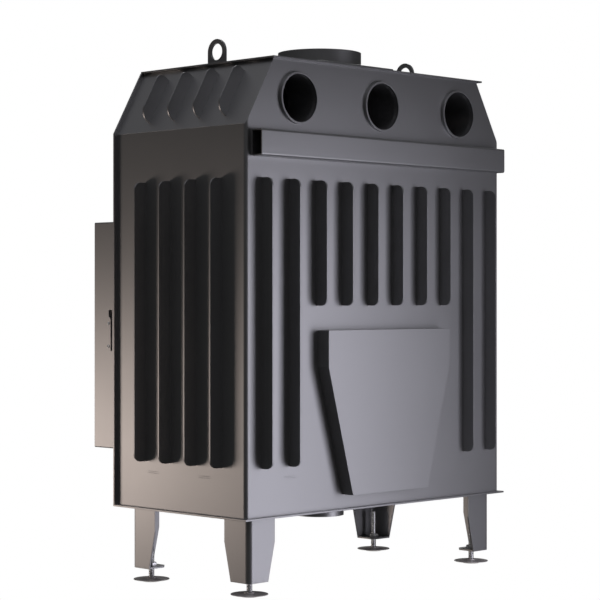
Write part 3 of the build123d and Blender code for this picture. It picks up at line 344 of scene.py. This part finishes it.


# Each finish's edge colour is a painted highlight along its edges.
BODY_PAINT = steel_finish(
    "body_paint", dark=(0.39, 0.39, 0.395), light=(0.42, 0.42, 0.425), edge=(0.5, 0.5, 0.51),
    metallic=1.0, smooth=0.435, rough=0.46,
)
FOOT_STEEL = steel_finish(
    "foot_steel", dark=(0.54, 0.51, 0.5), light=(0.62, 0.59, 0.58), edge=(0.7, 0.7, 0.7),
    metallic=0.35, smooth=0.26, rough=0.34,
)
ZINC = steel_finish(
    "zinc_plate", dark=(0.8, 0.8, 0.81), light=(0.88, 0.88, 0.89), edge=(0.92, 0.92, 0.92),
    metallic=0.8, smooth=0.14, rough=0.22,
)
MILL_SCALE = steel_finish(
    "mill_scale", dark=(0.016, 0.016, 0.018), light=(0.034, 0.034, 0.036), edge=(0.07, 0.07, 0.07),
    metallic=0.0, smooth=0.5, rough=0.66, bump=0.2, grain=160.0,
)
CAST_IRON = steel_finish(
    "cast_iron", dark=(0.02, 0.02, 0.021), light=(0.035, 0.035, 0.036), edge=(0.09, 0.09, 0.09),
    metallic=0.0, smooth=0.5, rough=0.62, bump=0.35, grain=240.0, radius=0.002,
)
HANDLE_STEEL = steel_finish(
    "handle_steel", dark=(0.5, 0.5, 0.5), light=(0.58, 0.58, 0.58), edge=(0.7, 0.7, 0.7),
    metallic=1.0, smooth=0.2, rough=0.28,
)
GLASS = ceramic_glass()
BOARD = firebox_board()
FLAT_GASKET = gasket_rope("flat_gasket", "Object", 160.0)
ROPE = gasket_rope("rope_gasket", "UV", 1.0)

FINISHES = {
    "side_lining_left": BOARD, "side_lining_right": BOARD, "back_lining": BOARD, "baffle": BOARD,
    "hearth_slab": BOARD, "door_frame": CAST_IRON, "grate": CAST_IRON, "glass_gasket": FLAT_GASKET,
    "door_glass": GLASS, "hinge_pins": ZINC, "glass_clips": ZINC, "latch_tongue": ZINC,
    "door_handle": HANDLE_STEEL, "air_lever": HANDLE_STEEL, "smoke_duct": MILL_SCALE,
    "firebox_ceiling": MILL_SCALE, "hearth_plate": MILL_SCALE, "air_shutter": MILL_SCALE,
}


def finish_cad_nodes():
    """Gives each CAD piece its finish."""
    for name, piece in NODES.items():
        piece.data.materials.clear()
        piece.data.materials.append(FINISHES.get(name, BODY_PAINT))


# Pieces
def new_piece(name, shape, material, body, replaced=None):
    """Object of a finished bmesh, on the body that carries it."""
    bmesh.ops.recalc_face_normals(shape, faces=shape.faces)
    mesh = bpy.data.meshes.new(name)
    shape.to_mesh(mesh)
    shape.free()
    piece = bpy.data.objects.new(name, mesh)
    SCENE.collection.objects.link(piece)
    mesh.materials.append(material)
    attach(piece, body)
    if replaced:
        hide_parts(replaced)
    return piece


def smooth_by_angle(piece, degrees):
    """Soft shading on curved faces, with the edges that are sharper than the angle kept crisp."""
    for face in piece.data.polygons:
        face.use_smooth = True
    piece.data.set_sharp_from_angle(angle=radians(degrees))


def solid_boxes(node):
    """Lowest and highest corner of each separate solid of a CAD piece."""
    shape = bmesh.new()
    shape.from_mesh(NODES[node].data)
    bmesh.ops.remove_doubles(shape, verts=shape.verts, dist=1e-5)
    waiting = set(shape.verts)
    boxes = []
    while waiting:
        island = set()
        to_visit = [waiting.pop()]
        while to_visit:
            point = to_visit.pop()
            island.add(point)
            near = {edge.other_vert(point) for edge in point.link_edges} & waiting
            waiting -= near
            to_visit.extend(near)
        low = Vector([min(point.co[axis] for point in island) for axis in range(3)])
        high = Vector([max(point.co[axis] for point in island) for axis in range(3)])
        boxes.append((low, high))
    shape.free()
    return sorted(boxes, key=lambda box: tuple(round(value, 4) for value in box[0]))


def add_rings(shape, rings, around, place, closed=False):
    """Turned form. A ring gives radius and height for an angle, and place makes the point of them."""
    grid = []
    for ring in rings:
        row = []
        for step in range(around):
            angle = 2 * pi * step / around
            radius, height = ring(angle)
            row.append(shape.verts.new(place(radius * cos(angle), radius * sin(angle), height)))
        grid.append(row)
    pairs = list(zip(grid, grid[1:]))
    if closed:
        pairs.append((grid[-1], grid[0]))
    else:
        shape.faces.new(grid[0])
        shape.faces.new(grid[-1])
    for lower, upper in pairs:
        for step in range(around):
            following = (step + 1) % around
            shape.faces.new((lower[step], lower[following], upper[following], upper[step]))


def round_ring(radius, height):
    """Ring that is the same all round."""
    return lambda angle: (radius, height)


def hexagon(flats, angle):
    """Distance of a hexagon's side from its middle, with a corner at angle 0."""
    return flats / cos(angle % (pi / 3) - pi / 6)


FEET = ("front_left", "front_right", "rear_left", "rear_right")
THREAD_PITCH = 0.002
THREAD_DEPTH = 0.0011
# Share of the pitch, and how far the flank has risen from root to crest
THREAD_PROFILE = ((0.0, 0), (0.2, 0), (0.55, 1), (0.7, 1))


def threaded_rod(foot):
    """Rod with a real single-start thread and chamfered ends."""
    node = "foot_rod_" + foot
    low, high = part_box(node)
    middle = (Vector(low) + Vector(high)) / 2
    crest = (high[0] - low[0]) / 2
    around = 20
    shape = bmesh.new()
    rows = []
    parts = len(THREAD_PROFILE)
    for row in range(-parts, (ceil((high[2] - low[2]) / THREAD_PITCH) + 1) * parts):
        share, raised = THREAD_PROFILE[row % parts]
        points = []
        for step in range(around):
            rise = (row // parts + share + step / around) * THREAD_PITCH
            z = min(max(low[2] + rise, low[2]), high[2])
            depth_in = min(z - low[2], high[2] - z)
            radius = min(crest - THREAD_DEPTH * (1 - raised), crest - THREAD_DEPTH + depth_in)
            angle = 2 * pi * step / around
            x = middle.x + radius * cos(angle)
            y = middle.y + radius * sin(angle)
            points.append(shape.verts.new((x, y, z)))
        rows.append(points)
    for number in range(len(rows) - 1):
        for step in range(around):
            following = (step + 1) % around
            lift = parts if following == 0 else 0
            if number + 1 + lift < len(rows):
                shape.faces.new((
                    rows[number][step], rows[number + lift][following],
                    rows[number + 1 + lift][following], rows[number + 1][step],
                ))
    bmesh.ops.remove_doubles(shape, verts=shape.verts, dist=1e-6)
    loose = [point for point in shape.verts if not point.link_faces]
    bmesh.ops.delete(shape, geom=loose, context="VERTS")
    bmesh.ops.holes_fill(shape, edges=[edge for edge in shape.edges if edge.is_boundary], sides=0)
    piece = new_piece("threaded_rod_" + foot, shape, ZINC, "foot_" + foot, node)
    smooth_by_angle(piece, 35)


# Radius and height in millimetres, from the pad on the floor up to the boss under the rod
DISC_PROFILE = (
    (21.3, 0), (22.5, 0.8), (22.5, 4.3), (41.9, 4.3), (43.1, 4.6), (43.5, 5.3), (43.1, 6.0), (42.0, 6.3),
    (14.6, 7.4), (12.9, 7.8), (12.5, 9.9), (11.9, 10.5),
)


def foot_disc(foot):
    """Pressed foot on its pad, with a rolled rim and a boss."""
    node = "foot_disc_" + foot
    low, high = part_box(node)
    middle = (Vector(low) + Vector(high)) / 2
    rings = [round_ring(radius / 1000, height / 1000) for radius, height in DISC_PROFILE]
    shape = bmesh.new()
    add_rings(shape, rings, 64, lambda x, y, z: (middle.x + x, middle.y + y, low[2] + z))
    piece = new_piece("levelling_foot_" + foot, shape, FOOT_STEEL, "foot_" + foot, node)
    smooth_by_angle(piece, 40)


# Fasteners: each shape is made once, and Geometry Nodes set it on its places
def fastener_tree():
    """Sets one fastener on each point, turned the way it faces and spun by chance about its own axis."""
    tree = bpy.data.node_groups.new("fastener_places", "GeometryNodeTree")
    tree.interface.new_socket("Places", in_out="INPUT", socket_type="NodeSocketGeometry")
    tree.interface.new_socket("Fastener", in_out="INPUT", socket_type="NodeSocketObject")
    tree.interface.new_socket("Facing", in_out="INPUT", socket_type="NodeSocketVector")
    tree.interface.new_socket("Spin", in_out="INPUT", socket_type="NodeSocketFloat")
    tree.interface.new_socket("Finish", in_out="INPUT", socket_type="NodeSocketMaterial")
    tree.interface.new_socket("Fasteners", in_out="OUTPUT", socket_type="NodeSocketGeometry")
    enter = tree.nodes.new("NodeGroupInput")
    leave = tree.nodes.new("NodeGroupOutput")
    shape = tree.nodes.new("GeometryNodeObjectInfo")
    places = tree.nodes.new("GeometryNodeInstanceOnPoints")
    chance = tree.nodes.new("FunctionNodeRandomValue")
    chance.data_type = "FLOAT"
    chance.inputs["Seed"].default_value = 5
    about_axis = tree.nodes.new("ShaderNodeCombineXYZ")
    spun = tree.nodes.new("GeometryNodeRotateInstances")
    real = tree.nodes.new("GeometryNodeRealizeInstances")
    finish = tree.nodes.new("GeometryNodeSetMaterial")
    for source, target in (
        (enter.outputs["Fastener"], shape.inputs["Object"]),
        (enter.outputs["Places"], places.inputs["Points"]),
        (shape.outputs["Geometry"], places.inputs["Instance"]),
        (enter.outputs["Facing"], places.inputs["Rotation"]),
        (enter.outputs["Spin"], chance.inputs[3]),
        (chance.outputs[1], about_axis.inputs["Z"]),
        (places.outputs["Instances"], spun.inputs["Instances"]),
        (about_axis.outputs[0], spun.inputs["Rotation"]),
        (spun.outputs["Instances"], real.inputs["Geometry"]),
        (real.outputs["Geometry"], finish.inputs["Geometry"]),
        (enter.outputs["Finish"], finish.inputs["Material"]),
        (finish.outputs["Geometry"], leave.inputs["Fasteners"]),
    ):
        tree.links.new(source, target)
    return tree


FASTENER_TREE = fastener_tree()


def set_fasteners(name, shape, places, facing, spin, body, replaced=None):
    """Zinc-plated fasteners on several places of one body. The shape stands along Z on the origin."""
    bmesh.ops.recalc_face_normals(shape, faces=shape.faces)
    fastener_mesh = bpy.data.meshes.new(name + "_shape")
    shape.to_mesh(fastener_mesh)
    shape.free()
    fastener = bpy.data.objects.new(name + "_shape", fastener_mesh)
    points = bpy.data.meshes.new(name + "_places")
    points.from_pydata(places, [], [])
    carrier = bpy.data.objects.new(name + "_places", points)
    SCENE.collection.objects.link(carrier)
    modifier = carrier.modifiers.new("fastener_places", "NODES")
    modifier.node_group = FASTENER_TREE
    items = FASTENER_TREE.interface.items_tree
    sockets = {item.name: item.identifier for item in items if item.in_out == "INPUT"}
    for socket, value in (("Fastener", fastener), ("Facing", facing), ("Spin", spin), ("Finish", ZINC)):
        modifier[sockets[socket]] = value
    view = bpy.context.evaluated_depsgraph_get()
    mesh = bpy.data.meshes.new_from_object(carrier.evaluated_get(view))
    bpy.data.objects.remove(carrier)
    bpy.data.objects.remove(fastener)
    piece = bpy.data.objects.new(name, mesh)
    SCENE.collection.objects.link(piece)
    smooth_by_angle(piece, 30)
    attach(piece, body)
    if replaced:
        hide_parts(replaced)


def upright_point(x, y, z):
    """Point of a turned form that stands on the origin."""
    return x, y, z


NUT_BORE = 0.00708
NUT_COUNTERSINK = 0.0009
NUT_TOP_IN = 0.0003
NUT_SHOULDER = 0.0002
NUT_CHAMFER = radians(30)


def hexagon_nuts():
    """Four nuts with turned-off corners on top, welded down on the foot plates."""
    boxes = solid_boxes("leg_nuts")
    low, high = boxes[0]
    flats = (high.y - low.y) / 2
    height = high.z - low.z

    def shoulder(angle):
        """Upper edge of the side, which the chamfer cuts lower at the corners."""
        out = hexagon(flats, angle)
        return out, height - (out - flats) * tan(NUT_CHAMFER) - NUT_SHOULDER

    rings = (
        round_ring(NUT_BORE, 0),
        lambda angle: (hexagon(flats, angle), 0),
        shoulder,
        round_ring(flats - NUT_TOP_IN, height),
        round_ring(NUT_BORE + NUT_COUNTERSINK, height),
        round_ring(NUT_BORE, height - NUT_COUNTERSINK),
    )
    shape = bmesh.new()
    add_rings(shape, rings, 48, upright_point, closed=True)
    places = [((low.x + high.x) / 2, (low.y + high.y) / 2, low.z) for low, high in boxes]
    set_fasteners("hexagon_nuts", shape, places, (0, 0, 0), 0.0, "insert", "leg_nuts")


def button_head(head, height, shank, depth):
    """Button-head screw with a hexagon socket: the head above the origin, the shank below."""
    socket = head * 0.34
    rings = (
        round_ring(shank, -depth),
        round_ring(shank, 0),
        round_ring(head * 0.97, 0),
        round_ring(head, height * 0.15),
        round_ring(head * 0.93, height * 0.5),
        round_ring(head * 0.75, height * 0.82),
        round_ring(head * 0.5, height),
        lambda angle: (hexagon(socket, angle), height),
        lambda angle: (hexagon(socket, angle), height * 0.35),
    )
    shape = bmesh.new()
    add_rings(shape, rings, 36, upright_point)
    return shape


def button_screws():
    """Two screws through the side of the door box."""
    boxes = solid_boxes("slot_screws")
    low, high = boxes[0]
    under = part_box("door_surround")[1][0]
    head = (high.y - low.y) / 2
    shape = button_head(head, high.x - under, head * 0.62, under - low.x)
    places = [(under, (low.y + high.y) / 2, (low.z + high.z) / 2) for low, high in boxes]
    set_fasteners("button_screws", shape, places, (0, pi / 2, 0), pi / 3, "insert", "slot_screws")


# Place of the screw from the clip's outer end, radius and height of its head, radius and depth of its shank
CLIP_SCREW_IN = 0.0065
CLIP_SCREW_HEAD = 0.0044
CLIP_SCREW_HEIGHT = 0.0022
CLIP_SCREW_SHANK = 0.0024
CLIP_SCREW_DEPTH = 0.006


def clip_screws():
    """One screw through the foot of each clip that holds the glass."""
    boxes = solid_boxes("glass_clips")
    glass_low, glass_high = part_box("door_glass")
    glass_middle = (glass_low[2] + glass_high[2]) / 2
    places = []
    for low, high in boxes:
        z = low.z + CLIP_SCREW_IN if high.z < glass_middle else high.z - CLIP_SCREW_IN
        places.append(((low.x + high.x) / 2, high.y, z))
    shape = button_head(CLIP_SCREW_HEAD, CLIP_SCREW_HEIGHT, CLIP_SCREW_SHANK, CLIP_SCREW_DEPTH)
    set_fasteners("clip_screws", shape, places, (-pi / 2, 0, 0), pi / 3, "door")


SLEEVE_BORE = 0.056
SLEEVE_LENGTH = 0.085
SLEEVE_SHEET = 0.001


def collar_sleeves():
    """Smooth sleeves that carry the bores of the hot-air collars on into the chamber."""
    shape = bmesh.new()
    for low, high in solid_boxes("hot_air_collars"):
        middle = (low + high) / 2
        start = low.y - BODY_SHEET
        end = start - SLEEVE_LENGTH
        rings = (
            round_ring(SLEEVE_BORE, start),
            round_ring(SLEEVE_BORE + SLEEVE_SHEET, start),
            round_ring(SLEEVE_BORE + SLEEVE_SHEET, end),
            round_ring(SLEEVE_BORE, end),
        )
        add_rings(shape, rings, 72, lambda x, y, z: (middle.x + x, z, middle.z + y), closed=True)
    piece = new_piece("collar_sleeves", shape, BODY_PAINT, "insert")
    smooth_by_angle(piece, 30)


# Half the rope's width, its bend in the door's corners, the step between its rings, the length in which its
# strands go once round, and the share of its size that the hollows between them take away
ROPE_HALF = 0.0045
ROPE_CORNER = 0.0075
ROPE_STEP = 0.0035
ROPE_LAY = 0.034
ROPE_STRANDS = 4
ROPE_HOLLOW = 0.14
CORNER_STEPS = 6
KNIT_REPEATS = 3


def rope_path(half_width, half_height, corner):
    """Points and outward directions round the door, with rounded corners, in even steps."""
    path = []
    for quarter, (side_x, side_z) in enumerate(((1, 1), (-1, 1), (-1, -1), (1, -1))):
        centre = Vector((side_x * (half_width - corner), 0, side_z * (half_height - corner)))
        for step in range(CORNER_STEPS + 1):
            angle = pi / 2 * (quarter + step / CORNER_STEPS)
            out = Vector((cos(angle), 0, sin(angle)))
            path.append((centre + out * corner, out))
        length = 2 * ((half_width if quarter % 2 == 0 else half_height) - corner)
        along = Vector((-out.z, 0, out.x))
        steps = round(length / ROPE_STEP)
        for step in range(1, steps):
            path.append((centre + out * corner + along * (length * step / steps), out))
    return path


def rope_gasket():
    """Rope of four twisted strands, pressed into the groove in the back of the door."""
    low, high = (Vector(corner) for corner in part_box("door_gasket"))
    middle = (low + high) / 2
    half_depth = (high.y - low.y) / 2
    path = rope_path((high.x - low.x) / 2 - ROPE_HALF, (high.z - low.z) / 2 - ROPE_HALF, ROPE_CORNER)
    around = 20
    shape = bmesh.new()
    grid = []
    travelled = 0.0
    lengths = [0.0]
    for (first, _), (second, _) in zip(path, path[1:] + path[:1]):
        travelled += (second - first).length
        lengths.append(travelled)
    lays = round(travelled / ROPE_LAY)
    for (point, out), length in zip(path, lengths):
        row = []
        for step in range(around):
            angle = 2 * pi * step / around
            strand = abs(sin((angle - 2 * pi * lays * length / travelled) * ROPE_STRANDS / 2))
            size = 1 - ROPE_HOLLOW * (1 - strand)
            across = out * (ROPE_HALF * size * cos(angle))
            deep = Vector((0, half_depth * size * sin(angle), 0))
            row.append(shape.verts.new(middle + point + across + deep))
        grid.append(row)
    layer = shape.loops.layers.uv.new("rope")
    for number, lower in enumerate(grid):
        upper = grid[(number + 1) % len(grid)]
        for step in range(around):
            following = (step + 1) % around
            face = shape.faces.new((lower[step], lower[following], upper[following], upper[step]))
            ends = ((number, step), (number, step + 1), (number + 1, step + 1), (number + 1, step))
            for loop, (row, column) in zip(face.loops, ends):
                loop[layer].uv = (lengths[row] / ROPE_LAY * KNIT_REPEATS, column / around * KNIT_REPEATS)
    piece = new_piece("rope_gasket", shape, ROPE, "door", "door_gasket")
    smooth_by_angle(piece, 60)


make_camera()
make_soft_boxes()
make_world()
make_floor()
finish_cad_nodes()
for foot in FEET:
    threaded_rod(foot)
    foot_disc(foot)
hexagon_nuts()
button_screws()
clip_screws()
collar_sleeves()
rope_gasket()
